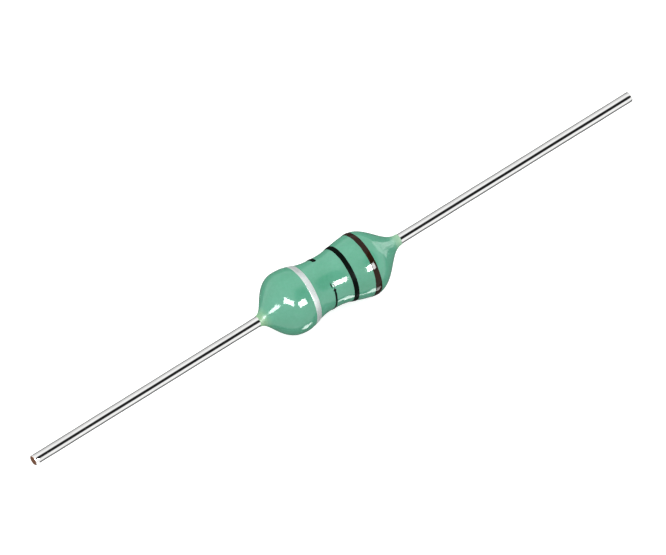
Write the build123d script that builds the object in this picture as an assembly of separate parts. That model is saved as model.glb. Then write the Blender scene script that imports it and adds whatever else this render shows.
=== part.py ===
from build123d import *
from math import cos, pi, radians, sin, tan
import os

# Axial inductor, 4 x 10 mm body size. All sizes are in millimetres.
#
# Object frame: the origin is the middle of the body, +X runs along the leads towards lead_right,
# and +Z is up. The body is turned a few degrees about Z (body_cant), so the core, the winding, the
# jacket and the ink bands are made in the body's own frame, with their axis on X, and then turned.
# The leads stay parallel to X and leave the body to either side of that axis.

# ---- leads: tinned copper wire
lead_diameter = 0.65
left_lead_length = 17.10        # bare wire, from the jacket's tip to the cut end
right_lead_length = 17.84
cut_edge_chamfer = 0.04         # broken edge at the cut end and at the root
root_relief = 0.01              # the root is abraded this much for the adhesive's grip
root_runout = 0.70              # length over which it comes back to full size, inside the tip
full_size_margin = 0.05         # full-size wire that still lies inside the jacket

# ---- jacket: dipped epoxy over the wound core
body_cant = 4.3                 # degrees between the body's axis and the leads
bulge_diameter = 4.10
waist_diameter = 3.28
bulge_spacing = 5.00            # from the left bulge's widest circle to the right one's
body_middle = -0.06             # place of the point midway between the bulges
waist_shift = 0.02              # the narrowest circle, measured from that point
left_cone_length = 2.62         # widest circle to the tip
right_cone_length = 2.89
tip_wall = 0.035                # epoxy left round the lead at the very tip

# how each flank curves: 1 is an even S from widest to narrowest, more keeps the wide end full
left_cone_fullness = 1.50
right_cone_fullness = 1.03
left_waist_fullness = 1.69
right_waist_fullness = 1.00
lean_start = 0.26               # share of a cone's length that still follows the body's axis

# ---- ferrite drum core
jacket_over_flange = 0.38
jacket_over_winding = 0.27
flange_thickness = 1.40
flange_chamfer = 0.20
lead_hole_depth = 1.60
lead_root_gap = 0.12            # adhesive between the lead and the wall of its hole
lead_end_gap = 0.08             # and between the lead's inner end and the floor of the hole
lead_cross_depth = 1.13         # below the core's end, where lead axis and hole axis cross

# ---- winding: one layer of enamelled wire
wire_diameter = 0.19
turn_count = 18
notch_width = 0.34
tail_lift = 0.03                # between the tail and the floor of its notch
tail_run = 0.20                 # from the flange's face to the tail's inward leg
tail_bend_radius = 0.12
wrap_count = 2                  # turns of the tail round the lead's root
wrap_gap = 0.02                 # between a wrap and the lead, and between two wraps

# ---- solder over the wraps
solder_wall = 0.12              # over the outside of the wraps
solder_toe = 0.22               # length that thins out along the lead
solder_toe_wall = 0.03

# ---- ink bands
ink_thickness = 0.03
silver_band_x = -1.89
silver_band_width = 0.42
broken_band_x = -0.40
broken_band_width = 0.25
thread_width = 0.11             # what is left of the broken band on the lower front
black_band_x = 0.92
black_band_width = 0.30
brown_band_x = 2.33
brown_band_width = 0.36
# turned about the body's axis from +Y towards +Z
broken_band_from = -147.0
broken_band_to = 65.0
thread_end = -219.0

# ---- sizes that follow
lead_radius = lead_diameter / 2
bulge_radius = bulge_diameter / 2
waist_radius = waist_diameter / 2
tip_radius = lead_radius + tip_wall
wire_radius = wire_diameter / 2

left_bulge_x = body_middle - bulge_spacing / 2
right_bulge_x = body_middle + bulge_spacing / 2
waist_x = body_middle + waist_shift
left_tip_x = left_bulge_x - left_cone_length
right_tip_x = right_bulge_x + right_cone_length

flange_radius = bulge_radius - jacket_over_flange
core_waist_radius = waist_radius - jacket_over_winding - wire_diameter
core_left_x = left_bulge_x - flange_thickness / 2
core_right_x = right_bulge_x + flange_thickness / 2
lead_hole_radius = lead_radius + lead_root_gap
tail_radius = core_waist_radius + tail_lift + wire_radius
wrap_radius = lead_radius + wrap_gap + wire_radius
wrap_pitch = wire_diameter + wrap_gap

cant_slope = tan(radians(body_cant))
# the object's Y of each lead: its axis crosses the body's axis inside the lead's hole
left_lead_y = -(core_left_x + lead_cross_depth) * cant_slope
right_lead_y = -(core_right_x - lead_cross_depth) * cant_slope


def body_plane(x, y=0.0):
    """The plane across the body at x, facing +X, with its own X axis along +Y."""
    return Plane(origin=(x, y, 0), x_dir=(0, 1, 0), z_dir=(1, 0, 0))


def cylinder_x(radius, x_from, x_to, y=0.0):
    """A round bar along X between two places."""
    return extrude(body_plane(x_from, y) * Circle(radius), amount=x_to - x_from)


def turned(shape):
    """Take a shape from the body's own frame into the object's frame."""
    return Rotation(0, 0, -body_cant) * shape


def lead_line(x, lead_y):
    """Where a lead's axis passes in the body's own frame."""
    return x * cant_slope + lead_y / cos(radians(body_cant))


# ---------------------------------------------------------------- outer form

def flank(share, wide, narrow, fullness):
    """Radius along a flank: an S curve from wide (share 0) to narrow (share 1)."""
    return narrow + (wide - narrow) * (1 + cos(pi * share ** fullness)) / 2


def waist_flank(share, fullness):
    """Radius from the waist (share 0) to a bulge (share 1)."""
    return waist_radius + (bulge_radius - waist_radius) * (1 - cos(pi * share ** fullness)) / 2


def outer_radius(x):
    """Radius of the jacket at a place on the body's axis."""
    if x < left_bulge_x:
        share = min((left_bulge_x - x) / left_cone_length, 1)
        return flank(share, bulge_radius, tip_radius, left_cone_fullness)
    if x > right_bulge_x:
        share = min((x - right_bulge_x) / right_cone_length, 1)
        return flank(share, bulge_radius, tip_radius, right_cone_fullness)
    if x < waist_x:
        return waist_flank((waist_x - x) / (waist_x - left_bulge_x), left_waist_fullness)
    return waist_flank((x - waist_x) / (right_bulge_x - waist_x), right_waist_fullness)


def lean(share):
    """How far a cone has leaned from the body's axis (0) on to its lead's axis (1)."""
    along = min(max((share - lean_start) / (1 - lean_start), 0), 1)
    return along * along * (3 - 2 * along)


def outer_centre(x):
    """Sideways place of the jacket's circle at x: the cones lean on to their leads."""
    if x < left_bulge_x:
        return lean((left_bulge_x - x) / left_cone_length) * lead_line(x, left_lead_y)
    if x > right_bulge_x:
        return lean((x - right_bulge_x) / right_cone_length) * lead_line(x, right_lead_y)
    return 0.0


def spread(start, end, steps):
    """Evenly spaced places from start up to, but not including, end."""
    return [start + (end - start) * i / steps for i in range(steps)]


def outer_stations():
    """Where the jacket's circles stand along the body's axis."""
    places = spread(left_tip_x, left_bulge_x, 10)
    places += spread(left_bulge_x, waist_x, 7)
    places += spread(waist_x, right_bulge_x, 7)
    places += spread(right_bulge_x, right_tip_x, 10)
    return places + [right_tip_x]


def outer_form(skin=0.0):
    """The jacket's outer form as one smooth solid, larger all round by skin."""
    circles = [body_plane(x, outer_centre(x)) * Circle(outer_radius(x) + skin) for x in outer_stations()]
    return loft(circles)


# ---------------------------------------------------------------- leads and adhesive

def lead(side):
    """Straight wire from its glued root to its cut end. side is -1 for the left, 1 for the right."""
    cant = cos(radians(body_cant))
    if side < 0:
        y = left_lead_y
        root = (-core_left_x - lead_hole_depth + lead_end_gap) * cant
        tip = -left_tip_x * cant
        end = tip + left_lead_length
    else:
        y = right_lead_y
        root = (core_right_x - lead_hole_depth + lead_end_gap) * cant
        tip = right_tip_x * cant
        end = tip + right_lead_length
    root_radius = lead_radius - root_relief
    full_size_from = tip - full_size_margin
    outline = [
        (root, 0),
        (root, root_radius - cut_edge_chamfer),
        (root + cut_edge_chamfer, root_radius),
        (full_size_from - root_runout, root_radius),
        (full_size_from, lead_radius),
        (end - cut_edge_chamfer, lead_radius),
        (end, lead_radius - cut_edge_chamfer),
        (end, 0),
    ]
    wire = revolve(make_face(Polyline(*outline, close=True)), Axis.X, 360)
    if side < 0:
        wire = mirror(wire, about=Plane.YZ)
    return Pos(0, y, 0) * wire


def lead_hole(side):
    """The blind hole for a lead's root, in the body's own frame."""
    if side < 0:
        return cylinder_x(lead_hole_radius, core_left_x, core_left_x + lead_hole_depth)
    return cylinder_x(lead_hole_radius, core_right_x - lead_hole_depth, core_right_x)


# ---------------------------------------------------------------- core and winding

def drum_core():
    """Ferrite dumb-bell with a blind hole and a wire notch at each end."""
    window_left = core_left_x + flange_thickness
    window_right = core_right_x - flange_thickness
    core = cylinder_x(flange_radius, core_left_x, window_left)
    core += cylinder_x(flange_radius, window_right, core_right_x)
    rims = core.edges().filter_by(GeomType.CIRCLE).group_by(Axis.X)
    core = chamfer(rims[0] + rims[-1], flange_chamfer)
    core += cylinder_x(core_waist_radius, window_left, window_right)
    notch = Box(
        core_right_x - core_left_x,
        notch_width,
        flange_radius,
        align=(Align.MIN, Align.CENTER, Align.MIN),
    )
    notch = Pos(core_left_x, 0, core_waist_radius) * notch
    return core - notch - lead_hole(-1) - lead_hole(1)


def turns():
    """The layer of wire as one barrel with a rounded rib for each turn."""
    left = core_left_x + flange_thickness
    right = core_right_x - flange_thickness
    pitch = (right - left) / turn_count
    crest = core_waist_radius + wire_diameter
    valley = crest - wire_radius / 2
    lines = [Line((left, core_waist_radius), (left, valley))]
    for i in range(turn_count):
        start = left + i * pitch
        lines.append(ThreePointArc((start, valley), (start + pitch / 2, crest), (start + pitch, valley)))
    lines.append(Line((right, valley), (right, core_waist_radius)))
    lines.append(Line((right, core_waist_radius), (left, core_waist_radius)))
    return revolve(make_face(Wire(lines)), Axis.X, 360)


def tail(side):
    """From the layer's end, out through the notch, down the core's face and round the lead."""
    core_end = core_left_x if side < 0 else core_right_x
    lead_y = left_lead_y if side < 0 else right_lead_y
    inside = core_end - side * (flange_thickness + wire_diameter)
    leg_x = core_end + side * tail_run
    foot = (leg_x, lead_line(leg_x, lead_y), wrap_radius)
    path = FilletPolyline((inside, 0, tail_radius), (leg_x, 0, tail_radius), foot, radius=tail_bend_radius)
    section = body_plane(inside) * Pos(0, tail_radius) * Circle(wire_radius)
    wire = sweep(section, path=path)
    for i in range(wrap_count):
        x = leg_x + side * i * wrap_pitch
        wire += Pos(x, lead_line(x, lead_y), 0) * Rotation(0, 90, 0) * Torus(wrap_radius, wire_radius)
    return wire


def wrap_bridge(side):
    """The short step of wire that joins one wrap to the next."""
    core_end = core_left_x if side < 0 else core_right_x
    lead_y = left_lead_y if side < 0 else right_lead_y
    start = core_end + side * tail_run
    end = start + side * (wrap_count - 1) * wrap_pitch
    return Pos(0, 0, -wrap_radius) * cylinder_x(wire_radius, min(start, end), max(start, end),
                                                lead_line((start + end) / 2, lead_y))


def coil_winding():
    """Turns, tails and wraps are one wire."""
    winding = turns()
    for side in (-1, 1):
        winding += tail(side)
        winding += wrap_bridge(side)
    return winding


def solder(side):
    """The outer form of the solder over a tail's wraps, in the body's own frame."""
    core_end = core_left_x if side < 0 else core_right_x
    lead_y = left_lead_y if side < 0 else right_lead_y
    over_wraps = wrap_radius + wire_radius + solder_wall
    body_end = tail_run + (wrap_count - 1) * wrap_pitch + wire_radius
    toe_end = body_end + solder_toe
    toe_radius = lead_radius + solder_toe_wall
    outline = [(0, 0), (0, over_wraps), (body_end, over_wraps), (toe_end, toe_radius), (toe_end, 0)]
    blob = revolve(make_face(Polyline(*outline, close=True)), Axis.X, 360)
    blob = blob if side > 0 else mirror(blob, about=Plane.YZ)
    # the blob is square to its lead, so it is turned back by the body's cant
    return Pos(core_end, lead_line(core_end, lead_y), 0) * Rotation(0, 0, body_cant) * blob


# ---------------------------------------------------------------- ink

def slab(x, width):
    """The space across the body between a band's two edges."""
    size = 2 * bulge_diameter
    return Pos(x, 0, 0) * Box(width, size, size)


def sector(start, end):
    """A wedge of space round the body's axis between two angles, in degrees."""
    reach = 2 * bulge_diameter
    steps = 6
    angles = [radians(start + (end - start) * i / steps) for i in range(steps + 1)]
    corners = [(0, 0)] + [(reach * cos(a), reach * sin(a)) for a in angles]
    face = body_plane(-reach) * make_face(Polyline(*corners, close=True))
    return extrude(face, amount=2 * reach)


def band(ink_skin, x, width):
    """A full printed ring."""
    return ink_skin & slab(x, width)


def broken_band(ink_skin):
    """A ring that is whole round the back, a thread on the lower front and missing elsewhere."""
    whole = band(ink_skin, broken_band_x, broken_band_width) & sector(broken_band_from, broken_band_to)
    thread = band(ink_skin, broken_band_x, thread_width) & sector(thread_end, broken_band_from)
    return whole + thread


# ---------------------------------------------------------------- assembly

def main():
    """Make every piece and write one file for each."""
    form = outer_form()
    ink_skin = outer_form(ink_thickness) - form

    pieces = {
        "drum_core": turned(drum_core()),
        "coil_winding": turned(coil_winding()),
        "lead_left": lead(-1),
        "lead_right": lead(1),
        "band_silver": turned(band(ink_skin, silver_band_x, silver_band_width)),
        "band_black_broken": turned(broken_band(ink_skin)),
        "band_black": turned(band(ink_skin, black_band_x, black_band_width)),
        "band_brown": turned(band(ink_skin, brown_band_x, brown_band_width)),
    }
    for name, side in (("left", -1), ("right", 1)):
        wire = pieces["lead_" + name]
        pieces["glue_" + name] = turned(lead_hole(side)) - wire
        blob = turned(solder(side)) - pieces["drum_core"] - pieces["glue_" + name]
        pieces["solder_" + name] = blob - pieces["coil_winding"] - wire

    jacket = turned(form)
    inner_names = ["drum_core", "coil_winding", "lead_left", "lead_right", "glue_left", "glue_right",
                   "solder_left", "solder_right"]
    for name in inner_names:
        jacket = jacket - pieces[name]
    pieces["coating"] = jacket

    os.makedirs("parts", exist_ok=True)
    for name, shape in pieces.items():
        export_step(shape, "parts/" + name + ".step")


main()
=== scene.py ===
"""Axial inductor: a glossy green epoxy jacket with printed bands on two tinned wire leads.

Lengths are named in millimetres, as a maker reads them, and MM turns them into metres. The jacket, the
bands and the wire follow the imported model's own frame: +X along the leads, +Z up, origin mid-body.
"""
from math import cos, pi, radians, sin, tan

import bmesh
import bpy
from mathutils import Matrix, Vector


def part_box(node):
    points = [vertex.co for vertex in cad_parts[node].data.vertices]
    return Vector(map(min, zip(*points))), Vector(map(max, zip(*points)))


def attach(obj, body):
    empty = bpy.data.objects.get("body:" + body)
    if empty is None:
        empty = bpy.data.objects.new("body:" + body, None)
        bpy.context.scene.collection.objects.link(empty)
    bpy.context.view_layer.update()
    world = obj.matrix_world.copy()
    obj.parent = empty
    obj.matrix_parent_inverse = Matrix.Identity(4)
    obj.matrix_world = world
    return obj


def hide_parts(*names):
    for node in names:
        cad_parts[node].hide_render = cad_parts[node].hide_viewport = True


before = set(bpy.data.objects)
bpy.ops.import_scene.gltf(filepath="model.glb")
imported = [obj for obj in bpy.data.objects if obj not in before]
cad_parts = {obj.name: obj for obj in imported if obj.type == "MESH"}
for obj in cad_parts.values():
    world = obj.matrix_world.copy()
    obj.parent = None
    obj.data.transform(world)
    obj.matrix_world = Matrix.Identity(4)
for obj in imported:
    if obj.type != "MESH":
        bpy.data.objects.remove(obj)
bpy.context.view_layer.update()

MM = 0.001
BODY = "root"

# ---- the jacket's form, along its own axis
BODY_CANT = radians(4.3)
BULGE_RADIUS = 2.05
WAIST_RADIUS = 1.64
LEAD_RADIUS = 0.325
TIP_RADIUS = 0.36
LEFT_BULGE_X = -2.56
RIGHT_BULGE_X = 2.44
WAIST_X = -0.04
LEFT_CONE_LENGTH = 2.62
RIGHT_CONE_LENGTH = 2.89
LEFT_CONE_FULLNESS = 1.50
RIGHT_CONE_FULLNESS = 1.03
LEFT_WAIST_FULLNESS = 1.69
RIGHT_WAIST_FULLNESS = 1.00
LEAN_START = 0.26
BULGE_DROP = 0.045              # the dip sagged this much on the bulges before it set
DROP_TURN = radians(-147)
LEFT_TIP_X = LEFT_BULGE_X - LEFT_CONE_LENGTH
RIGHT_TIP_X = RIGHT_BULGE_X + RIGHT_CONE_LENGTH
CANT_SLOPE = tan(BODY_CANT)

# ---- the leads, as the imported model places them
left_low, left_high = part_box("lead_left")
right_low, right_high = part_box("lead_right")
LEFT_LEAD_Y = (left_low.y + left_high.y) / 2 / MM
RIGHT_LEAD_Y = (right_low.y + right_high.y) / 2 / MM


# ================================================================ node helpers

def connect(tree, value, socket):
    """Feed a socket from another socket, or set it to a plain value."""
    if isinstance(value, bpy.types.NodeSocket):
        tree.links.new(value, socket)
    else:
        socket.default_value = value


def maths(tree, operation, *values):
    """One Math node, fed by sockets or numbers."""
    node = tree.nodes.new("ShaderNodeMath")
    node.operation = operation
    for socket, value in zip(node.inputs, values):
        connect(tree, value, socket)
    return node.outputs[0]


def ramp_between(tree, value, start, end, low=0.0, high=1.0, shape="LINEAR"):
    """Map Range: low at start, high at end, clamped."""
    node = tree.nodes.new("ShaderNodeMapRange")
    node.interpolation_type = shape
    for name, given in (("Value", value), ("From Min", start), ("From Max", end)):
        connect(tree, given, node.inputs[name])
    connect(tree, low, node.inputs["To Min"])
    connect(tree, high, node.inputs["To Max"])
    return node.outputs[0]


def noise(tree, vector, scale, detail=2.0, roughness=0.5):
    """A three-dimensional noise, from 0 to 1."""
    node = tree.nodes.new("ShaderNodeTexNoise")
    connect(tree, vector, node.inputs["Vector"])
    connect(tree, scale, node.inputs["Scale"])
    node.inputs["Detail"].default_value = detail
    node.inputs["Roughness"].default_value = roughness
    return node.outputs[0]


def combine(tree, x, y, z):
    """A vector from three values."""
    node = tree.nodes.new("ShaderNodeCombineXYZ")
    for socket, value in zip(node.inputs, (x, y, z)):
        connect(tree, value, socket)
    return node.outputs[0]


def new_group(name, kind, inputs, outputs):
    """An empty node group with named sockets; returns the group, its inputs and its outputs."""
    group = bpy.data.node_groups.new(name, kind)
    for label, socket_type, value in inputs:
        socket = group.interface.new_socket(label, in_out="INPUT", socket_type=socket_type)
        if value is not None:
            socket.default_value = value
    for label, socket_type in outputs:
        group.interface.new_socket(label, in_out="OUTPUT", socket_type=socket_type)
    given = group.nodes.new("NodeGroupInput").outputs
    made = group.nodes.new("NodeGroupOutput").inputs
    return group, given, made


def place_group(tree, group, **values):
    """Place a group in a tree; an underscore in a keyword stands for a space in the socket's name."""
    kind = "GeometryNodeGroup" if tree.bl_idname == "GeometryNodeTree" else "ShaderNodeGroup"
    node = tree.nodes.new(kind)
    node.node_tree = group
    for name, value in values.items():
        connect(tree, value, node.inputs[name.replace("_", " ")])
    return node.outputs


# ================================================================ the jacket's surface

def build_flank_group():
    """An S curve from 0 to 1; fullness says how long it stays near 0."""
    inputs = [("Share", "NodeSocketFloat", 0.0), ("Fullness", "NodeSocketFloat", 1.0)]
    tree, given, made = new_group("flank_curve", "GeometryNodeTree", inputs, [("Rise", "NodeSocketFloat")])
    share = maths(tree, "MINIMUM", maths(tree, "MAXIMUM", given["Share"], 0.0), 1.0)
    angle = maths(tree, "MULTIPLY", maths(tree, "POWER", share, given["Fullness"]), pi)
    rise = maths(tree, "MULTIPLY_ADD", maths(tree, "COSINE", angle), -0.5, 0.5)
    tree.links.new(rise, made["Rise"])
    return tree


def build_jacket_group(flank):
    """Where the jacket's surface is, for a place along the body, a turn about it and a lift off it."""
    inputs = [
        ("Along", "NodeSocketFloat", 0.0),
        ("Turn", "NodeSocketFloat", 0.0),
        ("Lift", "NodeSocketFloat", 0.0),
        ("Unevenness", "NodeSocketFloat", 0.0),
    ]
    outputs = [("Position", "NodeSocketVector")]
    tree, given, made = new_group("jacket_surface", "GeometryNodeTree", inputs, outputs)
    along, turn = given["Along"], given["Turn"]

    def share(start, end):
        """How far Along has gone from start to end, before clamping."""
        return maths(tree, "DIVIDE", maths(tree, "SUBTRACT", along, start), end - start)

    def rise(start, end, fullness):
        """The flank curve from start to end."""
        return place_group(tree, flank, Share=share(start, end), Fullness=fullness)["Rise"]

    waist_rise = maths(
        tree, "ADD",
        rise(WAIST_X, LEFT_BULGE_X, LEFT_WAIST_FULLNESS),
        rise(WAIST_X, RIGHT_BULGE_X, RIGHT_WAIST_FULLNESS),
    )
    cone_fall = maths(
        tree, "ADD",
        rise(LEFT_BULGE_X, LEFT_TIP_X, LEFT_CONE_FULLNESS),
        rise(RIGHT_BULGE_X, RIGHT_TIP_X, RIGHT_CONE_FULLNESS),
    )
    radius = maths(tree, "MULTIPLY_ADD", waist_rise, BULGE_RADIUS - WAIST_RADIUS, WAIST_RADIUS)
    radius = maths(tree, "MULTIPLY_ADD", cone_fall, TIP_RADIUS - BULGE_RADIUS, radius)
    radius = maths(tree, "ADD", radius, given["Lift"])

    cosine, sine = maths(tree, "COSINE", turn), maths(tree, "SINE", turn)
    # dipped epoxy is never perfectly round: two sizes of gentle unevenness, fading out at the tips
    around = combine(tree, along, maths(tree, "MULTIPLY", cosine, 2.0), maths(tree, "MULTIPLY", sine, 2.0))
    broad = maths(tree, "SUBTRACT", noise(tree, around, 0.42, 1.0), 0.5)
    local = maths(tree, "SUBTRACT", noise(tree, around, 1.5, 1.0), 0.5)
    wobble = maths(tree, "MULTIPLY_ADD", local, 0.25, broad)
    fade = maths(tree, "SUBTRACT", 1.0, cone_fall)
    wobble = maths(tree, "MULTIPLY", maths(tree, "MULTIPLY", wobble, fade), given["Unevenness"])
    radius = maths(tree, "ADD", radius, wobble)

    # the cones lean from the body's axis on to their leads
    sideways = 0.0
    for bulge, tip, lead_y in (
        (LEFT_BULGE_X, LEFT_TIP_X, LEFT_LEAD_Y),
        (RIGHT_BULGE_X, RIGHT_TIP_X, RIGHT_LEAD_Y),
    ):
        lean = ramp_between(tree, share(bulge, tip), LEAN_START, 1.0, shape="SMOOTHSTEP")
        lead_line = maths(tree, "MULTIPLY_ADD", along, CANT_SLOPE, lead_y / cos(BODY_CANT))
        sideways = maths(tree, "MULTIPLY_ADD", lean, lead_line, sideways)

    sag = maths(tree, "MULTIPLY", maths(tree, "MULTIPLY", waist_rise, fade), BULGE_DROP)
    y = maths(tree, "MULTIPLY_ADD", cosine, radius, sideways)
    y = maths(tree, "MULTIPLY_ADD", sag, cos(DROP_TURN), y)
    z = maths(tree, "MULTIPLY", sine, radius)
    z = maths(tree, "MULTIPLY_ADD", sag, sin(DROP_TURN), z)
    canted = tree.nodes.new("ShaderNodeVectorRotate")
    canted.rotation_type = "Z_AXIS"
    canted.inputs["Angle"].default_value = -BODY_CANT
    tree.links.new(combine(tree, along, y, z), canted.inputs["Vector"])
    scaled = tree.nodes.new("ShaderNodeVectorMath")
    scaled.operation = "SCALE"
    scaled.inputs["Scale"].default_value = MM
    tree.links.new(canted.outputs[0], scaled.inputs[0])
    tree.links.new(scaled.outputs[0], made["Position"])
    return tree


def grid_coordinates(tree, columns, rows):
    """A unit grid mesh, and its two running coordinates from 0 to 1."""
    grid = tree.nodes.new("GeometryNodeMeshGrid")
    connect(tree, columns, grid.inputs["Vertices X"])
    connect(tree, rows, grid.inputs["Vertices Y"])
    position = tree.nodes.new("GeometryNodeInputPosition")
    apart = tree.nodes.new("ShaderNodeSeparateXYZ")
    tree.links.new(position.outputs[0], apart.inputs[0])
    across = maths(tree, "ADD", apart.outputs[0], 0.5)
    around = maths(tree, "ADD", apart.outputs[1], 0.5)
    return grid.outputs["Mesh"], across, around


def finish_tree(tree, mesh, position, material, made, weld):
    """Move the grid to its surface, weld its seams, smooth it and give it its material."""
    moved = tree.nodes.new("GeometryNodeSetPosition")
    tree.links.new(mesh, moved.inputs["Geometry"])
    tree.links.new(position, moved.inputs["Position"])
    welded = tree.nodes.new("GeometryNodeMergeByDistance")
    welded.inputs["Distance"].default_value = weld * MM
    tree.links.new(moved.outputs[0], welded.inputs["Geometry"])
    smooth = tree.nodes.new("GeometryNodeSetShadeSmooth")
    tree.links.new(welded.outputs[0], smooth.inputs["Geometry"])
    real = tree.nodes.new("GeometryNodeRealizeInstances")
    tree.links.new(smooth.outputs[0], real.inputs["Geometry"])
    coated = tree.nodes.new("GeometryNodeSetMaterial")
    coated.inputs["Material"].default_value = material
    tree.links.new(real.outputs[0], coated.inputs["Geometry"])
    tree.links.new(coated.outputs[0], made["Geometry"])


def build_jacket_tree(surface, material):
    """The whole jacket: rings along the body, each end tucked in against its lead."""
    inputs = [
        ("Unevenness", "NodeSocketFloat", 0.0),
        ("Rings", "NodeSocketInt", 320),
        ("Points Round", "NodeSocketInt", 225),
        ("Tuck", "NodeSocketFloat", 0.03),
    ]
    tree, given, made = new_group("jacket", "GeometryNodeTree", inputs, [("Geometry", "NodeSocketGeometry")])
    mesh, lengthwise, around = grid_coordinates(tree, given["Rings"], given["Points Round"])
    start = maths(tree, "SUBTRACT", LEFT_TIP_X, given["Tuck"])
    end = maths(tree, "ADD", RIGHT_TIP_X, given["Tuck"])
    along = ramp_between(tree, lengthwise, 0.0, 1.0, start, end)
    # beyond a tip the wall dives under the lead's surface
    beyond = maths(tree, "ADD",
                   maths(tree, "MAXIMUM", maths(tree, "SUBTRACT", LEFT_TIP_X, along), 0.0),
                   maths(tree, "MAXIMUM", maths(tree, "SUBTRACT", along, RIGHT_TIP_X), 0.0))
    lift = maths(tree, "MULTIPLY", beyond, -2.0)
    turn = maths(tree, "MULTIPLY", around, 2 * pi)
    position = place_group(tree, surface, Along=along, Turn=turn, Lift=lift,
                           Unevenness=given["Unevenness"])["Position"]
    finish_tree(tree, mesh, position, material, made, 0.001)
    return tree


def build_band_tree(surface, name, material):
    """A printed stripe of ink that follows the jacket: a low rounded ridge with ragged edges."""
    inputs = [
        ("Centre", "NodeSocketFloat", 0.0),
        ("Width", "NodeSocketFloat", 0.3),
        ("Thickness", "NodeSocketFloat", 0.03),
        ("Turn From", "NodeSocketFloat", 0.0),
        ("Turn To", "NodeSocketFloat", 2 * pi),
        ("End Taper", "NodeSocketFloat", 0.0),
        ("Raggedness", "NodeSocketFloat", 0.1),
        ("Wander", "NodeSocketFloat", 0.02),
        ("Slant", "NodeSocketFloat", 0.0),
        ("Swell", "NodeSocketFloat", 0.0),
        ("Swell Turn", "NodeSocketFloat", 0.0),
        ("Seed", "NodeSocketFloat", 0.0),
        ("Unevenness", "NodeSocketFloat", 0.0),
        ("Points Round", "NodeSocketInt", 481),
        ("Points Across", "NodeSocketInt", 33),
    ]
    tree, given, made = new_group(name, "GeometryNodeTree", inputs, [("Geometry", "NodeSocketGeometry")])
    mesh, lengthwise, section = grid_coordinates(tree, given["Points Round"], given["Points Across"])
    turn = ramp_between(tree, lengthwise, 0.0, 1.0, given["Turn From"], given["Turn To"])
    angle = maths(tree, "MULTIPLY", section, 2 * pi)
    cosine, sine = maths(tree, "COSINE", angle), maths(tree, "SINE", angle)

    # noise that closes on itself round the body, with a different run on each edge
    side = maths(tree, "SIGN", cosine)
    edge = combine(tree, maths(tree, "COSINE", turn), maths(tree, "SINE", turn),
                   maths(tree, "MULTIPLY_ADD", side, 2.3, given["Seed"]))
    middle = combine(tree, maths(tree, "COSINE", turn), maths(tree, "SINE", turn), given["Seed"])
    coarse = maths(tree, "SUBTRACT", noise(tree, edge, 3.0, 3.0, 0.6), 0.5)
    wander = maths(tree, "SUBTRACT", noise(tree, middle, 1.3, 1.0), 0.5)
    ragged = maths(tree, "MULTIPLY_ADD", maths(tree, "MULTIPLY", coarse, given["Raggedness"]), 2.0, 1.0)

    # a swell where the wheel that printed the stripe pressed harder
    near = maths(tree, "COSINE", maths(tree, "SUBTRACT", turn, given["Swell Turn"]))
    near = maths(tree, "POWER", maths(tree, "MAXIMUM", near, 0.0), 4.0)
    swell = maths(tree, "MULTIPLY_ADD", near, given["Swell"], 1.0)

    from_end = maths(tree, "MINIMUM", lengthwise, maths(tree, "SUBTRACT", 1.0, lengthwise))
    taper = ramp_between(tree, from_end, -0.0001, given["End Taper"], shape="SMOOTHSTEP")
    half = maths(tree, "MULTIPLY", maths(tree, "MULTIPLY", given["Width"], 0.5), ragged)
    half = maths(tree, "MULTIPLY", maths(tree, "MULTIPLY", half, swell), taper)
    along = maths(tree, "MULTIPLY_ADD", cosine, half, given["Centre"])
    along = maths(tree, "MULTIPLY_ADD", wander, given["Wander"], along)
    along = maths(tree, "MULTIPLY_ADD", maths(tree, "SUBTRACT", lengthwise, 0.5), given["Slant"], along)

    # flat on top and thin at the edges; the underside lies just inside the jacket
    crown = maths(tree, "MULTIPLY", maths(tree, "SIGN", sine),
                  maths(tree, "POWER", maths(tree, "ABSOLUTE", sine), 0.5))
    lift = maths(tree, "MULTIPLY", maths(tree, "MULTIPLY", crown, given["Thickness"]), taper)
    position = place_group(tree, surface, Along=along, Turn=turn, Lift=lift,
                           Unevenness=given["Unevenness"])["Position"]
    finish_tree(tree, mesh, position, material, made, 0.0005)
    return tree


def grown(name, tree, **values):
    """Run a tree on a new object and keep its result as a plain mesh, closed and facing outwards."""
    piece = bpy.data.objects.new(name, bpy.data.meshes.new(name))
    bpy.context.scene.collection.objects.link(piece)
    modifier = piece.modifiers.new("grow", "NODES")
    modifier.node_group = tree
    wanted = {key.replace("_", " "): value for key, value in values.items()}
    for socket in tree.interface.items_tree:
        if socket.item_type == "SOCKET" and socket.in_out == "INPUT" and socket.name in wanted:
            modifier[socket.identifier] = wanted[socket.name]
    graph = bpy.context.evaluated_depsgraph_get()
    mesh = bpy.data.meshes.new_from_object(piece.evaluated_get(graph))
    piece.modifiers.clear()
    piece.data = mesh
    close_and_face_outwards(mesh)
    return piece


def close_and_face_outwards(mesh):
    """Fill the open rims and turn every face outwards."""
    shell = bmesh.new()
    shell.from_mesh(mesh)
    rims = [edge for edge in shell.edges if edge.is_boundary]
    bmesh.ops.holes_fill(shell, edges=rims, sides=0)
    bmesh.ops.recalc_face_normals(shell, faces=shell.faces[:])
    for face in shell.faces:
        face.smooth = True
    shell.to_mesh(mesh)
    shell.free()


def joined(name, pieces):
    """Several grown pieces as one object."""
    whole = bmesh.new()
    for piece in pieces:
        whole.from_mesh(piece.data)
    first = pieces[0]
    whole.to_mesh(first.data)
    whole.free()
    for piece in pieces[1:]:
        bpy.data.objects.remove(piece)
    first.name = name
    return first


# ================================================================ the wire

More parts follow.
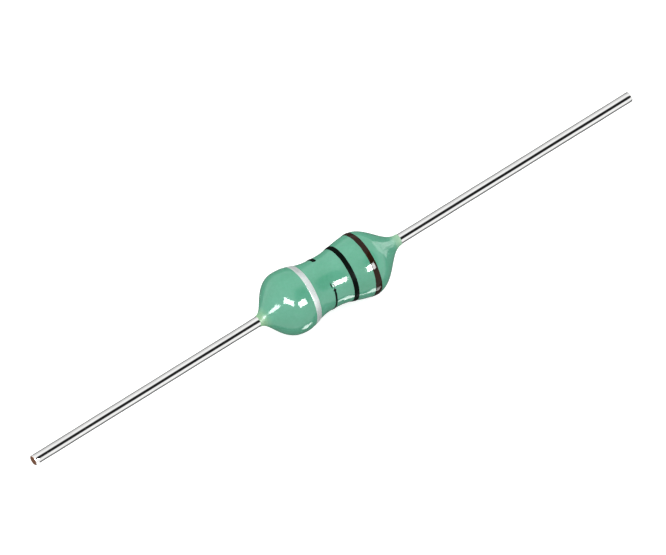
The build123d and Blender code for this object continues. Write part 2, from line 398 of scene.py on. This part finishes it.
def drawn_wire(name, material, root_x, end_x, y):
    """A straight wire with a broken edge at its cut end, its rings close enough to show a soft wave."""
    points_round, ring_gap, edge = 64, 0.25, 0.04
    swell_height, swell_rate = 0.0025, 2.1
    ripple_height, ripple_rate = 0.0015, 5.3
    bow_height, bow_rate = 0.004, 0.9
    length = abs(end_x - root_x)
    direction = 1 if end_x > root_x else -1
    rings = [(0.0, LEAD_RADIUS - edge), (edge, LEAD_RADIUS)]
    steps = int(length / ring_gap)
    rings += [(edge + (length - 2 * edge) * i / steps, LEAD_RADIUS) for i in range(1, steps + 1)]
    rings += [(length - edge * 0.3, LEAD_RADIUS - edge * 0.3), (length, LEAD_RADIUS - edge)]
    wire = bmesh.new()
    loops = []
    for place, radius in rings:
        # the coat of tin is never perfectly even along the wire, and the wire is never quite straight
        wave = swell_height * sin(place * swell_rate) + ripple_height * sin(place * ripple_rate + 1.0)
        centre = bow_height * sin(place * bow_rate + y)
        loop = []
        for k in range(points_round):
            angle = 2 * pi * k / points_round
            x = root_x + direction * place
            spot = Vector((x, y + (radius + wave) * cos(angle), centre + (radius + wave) * sin(angle)))
            loop.append(wire.verts.new(spot * MM))
        loops.append(loop)
    for before, after in zip(loops, loops[1:]):
        for k in range(points_round):
            following = (k + 1) % points_round
            face = wire.faces.new((before[k], before[following], after[following], after[k]))
            face.smooth = True
    for loop in (loops[0], loops[-1]):
        wire.faces.new(loop)
    bmesh.ops.recalc_face_normals(wire, faces=wire.faces[:])
    mesh = bpy.data.meshes.new(name)
    wire.to_mesh(mesh)
    wire.free()
    mesh.materials.append(material)
    piece = bpy.data.objects.new(name, mesh)
    bpy.context.scene.collection.objects.link(piece)
    return piece


# ================================================================ materials

def new_material(name):
    """A material with its Principled shader and object coordinates in millimetres."""
    material = bpy.data.materials.new(name)
    material.use_nodes = True
    tree = material.node_tree
    shader = tree.nodes["Principled BSDF"]
    coordinates = tree.nodes.new("ShaderNodeTexCoord")
    scaled = tree.nodes.new("ShaderNodeMapping")
    scaled.inputs["Scale"].default_value = (1 / MM, 1 / MM, 1 / MM)
    tree.links.new(coordinates.outputs["Object"], scaled.inputs["Vector"])
    return material, tree, shader, scaled.outputs[0]


def mix_colours(tree, share, low, high):
    """Blend two colours."""
    node = tree.nodes.new("ShaderNodeMix")
    node.data_type = "RGBA"
    connect(tree, share, node.inputs["Factor"])
    for name, value in (("A", low), ("B", high)):
        socket = [s for s in node.inputs if s.name == name and s.type == "RGBA"][0]
        connect(tree, value if isinstance(value, bpy.types.NodeSocket) else (*value, 1.0), socket)
    return [s for s in node.outputs if s.type == "RGBA"][0]


def bump(tree, shader, height, distance, strength=1.0):
    """Relief from a height map; distance is in millimetres."""
    node = tree.nodes.new("ShaderNodeBump")
    node.inputs["Strength"].default_value = strength
    node.inputs["Distance"].default_value = distance * MM
    tree.links.new(height, node.inputs["Height"])
    tree.links.new(node.outputs[0], shader.inputs["Normal"])


def build_cloud_group():
    """Soft cloudiness of a poured or printed coat: a broad drift and a fine grain."""
    inputs = [
        ("Vector", "NodeSocketVector", None),
        ("Drift Scale", "NodeSocketFloat", 0.6),
        ("Grain Scale", "NodeSocketFloat", 9.0),
        ("Grain Share", "NodeSocketFloat", 0.3),
    ]
    outputs = [("Cloud", "NodeSocketFloat"), ("Grain", "NodeSocketFloat")]
    tree, given, made = new_group("coat_cloud", "ShaderNodeTree", inputs, outputs)
    moved = tree.nodes.new("ShaderNodeVectorMath")
    moved.inputs[1].default_value = (6.3, 2.9, 11.7)    # the drift runs apart from the grain
    tree.links.new(given["Vector"], moved.inputs[0])
    drift = noise(tree, moved.outputs[0], given["Drift Scale"], 2.0)
    grain = noise(tree, given["Vector"], given["Grain Scale"], 4.0, 0.6)
    blend = maths(tree, "MULTIPLY", maths(tree, "SUBTRACT", grain, drift), given["Grain Share"])
    blend = maths(tree, "ADD", drift, blend)
    tree.links.new(ramp_between(tree, blend, 0.3, 0.7), made["Cloud"])
    tree.links.new(grain, made["Grain"])
    return tree


def epoxy_material(cloud_group):
    """Glossy green dipping epoxy, paler and yellower where it thins out at the tips."""
    material, tree, shader, vector = new_material("green_epoxy")
    cloud = place_group(tree, cloud_group, Vector=vector, Drift_Scale=0.55, Grain_Scale=6.0, Grain_Share=0.35)
    deep_green, light_green = (0.092, 0.365, 0.228), (0.132, 0.435, 0.295)
    left_tip_green, right_tip_green = (0.260, 0.500, 0.270), (0.300, 0.540, 0.350)
    left_thinning, right_thinning = 0.65, 0.9       # how far from each tip the coat starts to thin out
    tip_dullness = 0.38
    colour = mix_colours(tree, cloud["Cloud"], deep_green, light_green)
    apart = tree.nodes.new("ShaderNodeSeparateXYZ")
    tree.links.new(vector, apart.inputs[0])
    left = ramp_between(tree, apart.outputs[0], LEFT_TIP_X + left_thinning, LEFT_TIP_X, shape="SMOOTHSTEP")
    right = ramp_between(tree, apart.outputs[0], RIGHT_TIP_X - right_thinning, RIGHT_TIP_X, shape="SMOOTHSTEP")
    colour = mix_colours(tree, left, colour, left_tip_green)
    colour = mix_colours(tree, right, colour, right_tip_green)
    tree.links.new(colour, shader.inputs["Base Color"])
    roughness = ramp_between(tree, cloud["Grain"], 0.2, 0.8, 0.07, 0.13)
    # the thin coat on the tips is duller
    thin = maths(tree, "MAXIMUM", left, right)
    roughness = maths(tree, "MULTIPLY_ADD", thin, tip_dullness, roughness)
    tree.links.new(roughness, shader.inputs["Roughness"])
    shader.inputs["IOR"].default_value = 1.53
    shader.inputs["Subsurface Weight"].default_value = 0.12
    shader.inputs["Subsurface Scale"].default_value = 0.4 * MM
    shader.inputs["Subsurface Radius"].default_value = (0.3, 1.0, 0.6)
    bump(tree, shader, cloud["Grain"], 0.004, 0.5)
    return material


def ink_material(name, cloud_group, low, high, roughness, specular,
                 metallic=0.0, grain_scale=14.0, relief=0.003):
    """Printed ink: a little uneven in tone, with a fine grain in its surface."""
    material, tree, shader, vector = new_material(name)
    cloud = place_group(tree, cloud_group, Vector=vector, Drift_Scale=1.6, Grain_Scale=grain_scale,
                        Grain_Share=0.6)
    tree.links.new(mix_colours(tree, cloud["Cloud"], low, high), shader.inputs["Base Color"])
    rough = ramp_between(tree, cloud["Grain"], 0.25, 0.75, roughness * 0.8, roughness * 1.2)
    tree.links.new(rough, shader.inputs["Roughness"])
    shader.inputs["Metallic"].default_value = metallic
    shader.inputs["Specular IOR Level"].default_value = specular
    bump(tree, shader, cloud["Grain"], relief, 0.6)
    return material


def tinned_material(cloud_group, left_end_x, right_end_x):
    """Bright tin on drawn wire: faint draw lines along it, and the copper core bare at each cut."""
    material, tree, shader, vector = new_material("bright_tin")
    stretched = tree.nodes.new("ShaderNodeMapping")
    stretched.inputs["Scale"].default_value = (0.25, 9.0, 9.0)
    tree.links.new(vector, stretched.inputs["Vector"])
    lines = noise(tree, stretched.outputs[0], 1.0, 3.0, 0.6)
    cloud = place_group(tree, cloud_group, Vector=vector, Drift_Scale=0.8, Grain_Scale=10.0, Grain_Share=0.5)
    grey_tin, white_tin = (0.74, 0.74, 0.735), (0.86, 0.86, 0.85)
    dark_copper, pale_copper = (0.62, 0.26, 0.13), (0.80, 0.42, 0.26)
    tin = mix_colours(tree, cloud["Cloud"], grey_tin, white_tin)
    apart = tree.nodes.new("ShaderNodeSeparateXYZ")
    tree.links.new(vector, apart.inputs[0])
    cut_depth = 0.008
    at_left = maths(tree, "LESS_THAN", apart.outputs[0], left_end_x + cut_depth)
    at_right = maths(tree, "GREATER_THAN", apart.outputs[0], right_end_x - cut_depth)
    at_cut = maths(tree, "MAXIMUM", at_left, at_right)
    shear = noise(tree, vector, 12.0, 4.0, 0.7)
    copper = mix_colours(tree, shear, dark_copper, pale_copper)
    tree.links.new(mix_colours(tree, at_cut, tin, copper), shader.inputs["Base Color"])
    shader.inputs["Metallic"].default_value = 1.0
    roughness = ramp_between(tree, lines, 0.2, 0.8, 0.03, 0.06)
    roughness = maths(tree, "MULTIPLY_ADD", at_cut, 0.25, roughness)
    tree.links.new(roughness, shader.inputs["Roughness"])
    bump(tree, shader, lines, 0.002, 0.4)
    return material


def ferrite_material(cloud_group):
    """Dull grey-black sintered ferrite with fine pores."""
    material, tree, shader, vector = new_material("sintered_ferrite")
    cloud = place_group(tree, cloud_group, Vector=vector, Drift_Scale=1.0, Grain_Scale=20.0, Grain_Share=0.7)
    tree.links.new(mix_colours(tree, cloud["Cloud"], (0.020, 0.019, 0.018), (0.055, 0.052, 0.050)),
                   shader.inputs["Base Color"])
    tree.links.new(ramp_between(tree, cloud["Grain"], 0.2, 0.8, 0.6, 0.85), shader.inputs["Roughness"])
    bump(tree, shader, cloud["Grain"], 0.01, 0.7)
    return material


def enamelled_wire_material(cloud_group):
    """Copper wire seen through a clear amber enamel."""
    material, tree, shader, vector = new_material("enamelled_copper")
    cloud = place_group(tree, cloud_group, Vector=vector, Drift_Scale=2.0, Grain_Scale=12.0, Grain_Share=0.4)
    tree.links.new(mix_colours(tree, cloud["Cloud"], (0.42, 0.13, 0.035), (0.62, 0.22, 0.07)),
                   shader.inputs["Base Color"])
    shader.inputs["Metallic"].default_value = 0.8
    shader.inputs["Coat Weight"].default_value = 1.0
    shader.inputs["Coat Roughness"].default_value = 0.08
    tree.links.new(ramp_between(tree, cloud["Grain"], 0.2, 0.8, 0.22, 0.34), shader.inputs["Roughness"])
    bump(tree, shader, cloud["Grain"], 0.002, 0.4)
    return material


def adhesive_material(cloud_group):
    """Cured amber adhesive."""
    material, tree, shader, vector = new_material("cured_adhesive")
    cloud = place_group(tree, cloud_group, Vector=vector, Drift_Scale=1.8, Grain_Scale=8.0, Grain_Share=0.4)
    tree.links.new(mix_colours(tree, cloud["Cloud"], (0.46, 0.31, 0.12), (0.62, 0.47, 0.22)),
                   shader.inputs["Base Color"])
    shader.inputs["Subsurface Weight"].default_value = 0.3
    shader.inputs["Subsurface Scale"].default_value = 0.3 * MM
    tree.links.new(ramp_between(tree, cloud["Grain"], 0.2, 0.8, 0.25, 0.4), shader.inputs["Roughness"])
    bump(tree, shader, cloud["Grain"], 0.006, 0.5)
    return material


def solder_material(cloud_group):
    """Bright solder with a slightly frosted skin."""
    material, tree, shader, vector = new_material("bright_solder")
    cloud = place_group(tree, cloud_group, Vector=vector, Drift_Scale=2.2, Grain_Scale=10.0, Grain_Share=0.5)
    tree.links.new(mix_colours(tree, cloud["Cloud"], (0.55, 0.55, 0.56), (0.72, 0.72, 0.73)),
                   shader.inputs["Base Color"])
    shader.inputs["Metallic"].default_value = 1.0
    tree.links.new(ramp_between(tree, cloud["Grain"], 0.2, 0.8, 0.18, 0.36), shader.inputs["Roughness"])
    bump(tree, shader, cloud["Grain"], 0.006, 0.5)
    return material


# ================================================================ camera, light and floor

CAMERA_TURN = radians(-38.7)
CAMERA_RISE = radians(50.6)
CAMERA_DISTANCE = 1.35
VIEW_WIDTH = 39.81              # how much the lens takes in, from side to side, at the body
AIM_RIGHT = 0.329               # the lens is aimed this far to the right of the body's middle
AIM_UP = 0.215                  # and this far above it
SENSOR_WIDTH = 36.0
LIGHT_DISTANCE = 2.5            # metres
FLOOR_REACH = 1.5               # metres from its middle to each side
TENT_STRENGTH = 1.12
# the directions, as a mirror sees them, of the tent's darker places
LENS_GAP = (0.397, -0.565, 0.723)
SHADE_BELOW = (0.397, 0.366, -0.842)
FAR_WALL = (0.397, 0.889, 0.23)


def pointed(turn, rise):
    """The direction from the object towards a place at this turn about Z and rise above the floor."""
    return Vector((sin(turn) * cos(rise), -cos(turn) * cos(rise), sin(rise)))


def add_camera():
    """A long lens that looks down on the part from its near left end."""
    towards = pointed(CAMERA_TURN, CAMERA_RISE)
    right = Vector((cos(CAMERA_TURN), sin(CAMERA_TURN), 0.0))
    up = towards.cross(right)
    target = (right * AIM_RIGHT + up * AIM_UP) * MM
    data = bpy.data.cameras.new("camera")
    data.sensor_width = SENSOR_WIDTH
    data.lens = SENSOR_WIDTH * CAMERA_DISTANCE / (VIEW_WIDTH * MM)
    data.clip_start = 0.1
    data.clip_end = 20.0
    camera = bpy.data.objects.new("camera", data)
    bpy.context.scene.collection.objects.link(camera)
    axes = Matrix((right, up, towards)).transposed()
    camera.matrix_world = Matrix.Translation(target + towards * CAMERA_DISTANCE) @ axes.to_4x4()
    bpy.context.scene.camera = camera


def add_softbox(name, bearing, rise, width, height, radiance):
    """A rectangular light that faces the part. bearing runs from +X towards +Y; sizes are in degrees."""
    bearing, rise = radians(bearing), radians(rise)
    away = Vector((cos(bearing) * cos(rise), sin(bearing) * cos(rise), sin(rise)))
    data = bpy.data.lights.new(name, "AREA")
    data.shape = "RECTANGLE"
    data.size = 2 * LIGHT_DISTANCE * tan(radians(width) / 2)
    data.size_y = 2 * LIGHT_DISTANCE * tan(radians(height) / 2)
    data.energy = radiance * pi * data.size * data.size_y
    light = bpy.data.objects.new(name, data)
    light.location = away * LIGHT_DISTANCE
    light.rotation_euler = away.to_track_quat("Z", "Y").to_euler()
    light.visible_camera = False
    light.visible_diffuse = False
    bpy.context.scene.collection.objects.link(light)


def grey(level):
    """A plain grey."""
    return (level, level, level)


def add_world():
    """An even white tent that a mirror sees with dark places in it: the lens's gap, and the shade below."""
    world = bpy.data.worlds.new("tent")
    world.use_nodes = True
    tree = world.node_tree
    background = tree.nodes["Background"]
    coordinates = tree.nodes.new("ShaderNodeTexCoord")

    def facing(direction, outer, inner):
        """1 within inner degrees of a direction, 0 beyond outer degrees."""
        dot = tree.nodes.new("ShaderNodeVectorMath")
        dot.operation = "DOT_PRODUCT"
        dot.inputs[1].default_value = Vector(direction).normalized()
        tree.links.new(coordinates.outputs["Generated"], dot.inputs[0])
        edge, core = cos(radians(outer)), cos(radians(inner))
        return ramp_between(tree, dot.outputs["Value"], edge, core, shape="SMOOTHSTEP")

    gap = facing(LENS_GAP, outer=33, inner=19)
    shade = facing(SHADE_BELOW, outer=70, inner=62)
    far_wall = facing(FAR_WALL, outer=45, inner=15)
    tone = mix_colours(tree, far_wall, grey(1.0), grey(0.72))
    tone = mix_colours(tree, shade, tone, grey(0.13))
    tone = mix_colours(tree, gap, tone, (0.012, 0.012, 0.013))
    path = tree.nodes.new("ShaderNodeLightPath")
    height = tree.nodes.new("ShaderNodeSeparateXYZ")
    tree.links.new(coordinates.outputs["Generated"], height.inputs[0])
    from_above = ramp_between(tree, height.outputs[2], -0.3, 0.8)
    lit = mix_colours(tree, from_above, grey(0.66), grey(1.12))
    lit = mix_colours(tree, path.outputs["Is Camera Ray"], lit, grey(1.0))
    tree.links.new(mix_colours(tree, path.outputs["Is Glossy Ray"], lit, tone), background.inputs["Color"])
    background.inputs["Strength"].default_value = TENT_STRENGTH
    bpy.context.scene.world = world


def add_floor():
    """A plain pale floor under the body's lowest point."""
    floor_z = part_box("band_brown")[0].z
    mesh = bpy.data.meshes.new("floor")
    corners = [(-1, -1), (1, -1), (1, 1), (-1, 1)]
    mesh.from_pydata([(x * FLOOR_REACH, y * FLOOR_REACH, floor_z) for x, y in corners], [], [(0, 1, 2, 3)])
    floor = bpy.data.objects.new("floor", mesh)
    bpy.context.scene.collection.objects.link(floor)
    material, tree, shader, vector = new_material("pale_floor")
    path = tree.nodes.new("ShaderNodeLightPath")
    grain = noise(tree, vector, 0.05, 2.0)
    pale = mix_colours(tree, grain, grey(0.62), grey(0.65))
    tree.links.new(pale, shader.inputs["Base Color"])
    shader.inputs["Roughness"].default_value = 0.9
    shader.inputs["Specular IOR Level"].default_value = 0.0
    glow = maths(tree, "MULTIPLY", path.outputs["Is Camera Ray"], 0.75)
    tree.links.new(glow, shader.inputs["Emission Strength"])
    shader.inputs["Emission Color"].default_value = (1.0, 1.0, 1.0, 1.0)
    mesh.materials.append(material)
    floor.visible_glossy = False


# ================================================================ making

JACKET_UNEVENNESS = 0.05
INK_THICKNESS = 0.022


def dress(node, material):
    """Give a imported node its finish."""
    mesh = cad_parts[node].data
    mesh.materials.clear()
    mesh.materials.append(material)


def main():
    """Make the pieces, the finishes and the stage."""
    bpy.context.scene.view_settings.view_transform = "Standard"
    add_camera()
    add_world()

    cloud = build_cloud_group()
    surface = build_jacket_group(build_flank_group())
    epoxy = epoxy_material(cloud)
    left_end_x, right_end_x = left_low.x / MM, right_high.x / MM
    tin = tinned_material(cloud, left_end_x, right_end_x)

    jacket = grown("jacket", build_jacket_tree(surface, epoxy), Unevenness=JACKET_UNEVENNESS)
    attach(jacket, BODY)
    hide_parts("coating")

    for name, node, root_x, end_x, y in (
        ("wire_left", "lead_left", left_high.x / MM, left_end_x, LEFT_LEAD_Y),
        ("wire_right", "lead_right", right_low.x / MM, right_end_x, RIGHT_LEAD_Y),
    ):
        wire = drawn_wire(name, tin, root_x, end_x, y)
        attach(wire, BODY)
        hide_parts(node)

    brown = ink_material("brown_ink", cloud, (0.012, 0.006, 0.003), (0.036, 0.013, 0.006),
                         roughness=0.06, specular=0.14)
    black = ink_material("black_ink", cloud, (0.001, 0.003, 0.002), (0.003, 0.007, 0.005),
                         roughness=0.35, specular=0.02)
    silver = ink_material("silver_ink", cloud, (0.42, 0.47, 0.46), (0.78, 0.82, 0.81),
                          roughness=0.42, specular=0.5, metallic=0.35, grain_scale=22.0, relief=0.008)
    ring = {"Thickness": INK_THICKNESS, "Unevenness": JACKET_UNEVENNESS}
    bands = (
        ("ink_ring_brown", "band_brown", "brown_ink", brown, [
            dict(Centre=2.33, Width=0.35, Raggedness=0.16, Wander=0.03, Swell=0.35, Swell_Turn=radians(-160),
                 Seed=4.0)]),
        ("ink_ring_black", "band_black", "black_ink", black, [
            dict(Centre=0.92, Width=0.30, Raggedness=0.08, Wander=0.03, Seed=9.0)]),
        ("ink_ring_silver", "band_silver", "silver_ink", silver, [
            dict(Centre=-1.89, Width=0.42, Raggedness=0.14, Wander=0.03, Seed=15.0)]),
        ("ink_ring_black_broken", "band_black_broken", "black_ink", black, [
            dict(Centre=-0.46, Width=0.25, Raggedness=0.12, Wander=0.02, Seed=21.0, End_Taper=0.02,
                 Turn_From=radians(-147), Turn_To=radians(68)),
            # what is left of it at the front: a thread with a blot at its top, and two worn strands above
            dict(Centre=-0.45, Width=0.13, Raggedness=0.25, Wander=0.03, Slant=-0.06, Seed=27.0,
                 End_Taper=0.15, Turn_From=radians(-215), Turn_To=radians(-140)),
            dict(Centre=-0.42, Width=0.19, Raggedness=0.20, Wander=0.0, Seed=33.0, End_Taper=0.5,
                 Turn_From=radians(-217), Turn_To=radians(-205)),
            dict(Centre=-0.54, Width=0.07, Raggedness=0.40, Wander=0.0, Slant=0.03, Seed=38.0, End_Taper=0.4,
                 Turn_From=radians(-232), Turn_To=radians(-215)),
            dict(Centre=-0.36, Width=0.05, Raggedness=0.40, Wander=0.0, Slant=-0.03, Seed=45.0, End_Taper=0.4,
                 Turn_From=radians(-230), Turn_To=radians(-214))]),
    )
    for name, node, slot, ink, stripes in bands:
        tree = build_band_tree(surface, name, ink)
        parts = [grown(name, tree, **ring, **stripe) for stripe in stripes]
        band = joined(name, parts)
        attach(band, BODY)
        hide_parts(node)

    dress("drum_core", ferrite_material(cloud))
    dress("coil_winding", enamelled_wire_material(cloud))
    adhesive, bright_solder = adhesive_material(cloud), solder_material(cloud)
    for side in ("left", "right"):
        dress("glue_" + side, adhesive)
        dress("solder_" + side, bright_solder)

    add_softbox("window", bearing=-81, rise=31, width=20, height=17, radiance=58.0)
    add_softbox("side_window", bearing=-147, rise=41, width=42, height=20, radiance=24.0)
    add_softbox("door", bearing=178, rise=14.5, width=13, height=9, radiance=18.0)
    add_softbox("low_strip", bearing=-69, rise=-58, width=15, height=16, radiance=6.5)
    add_softbox("far_panel", bearing=8, rise=0, width=26, height=34, radiance=1.6)
    add_floor()


main()
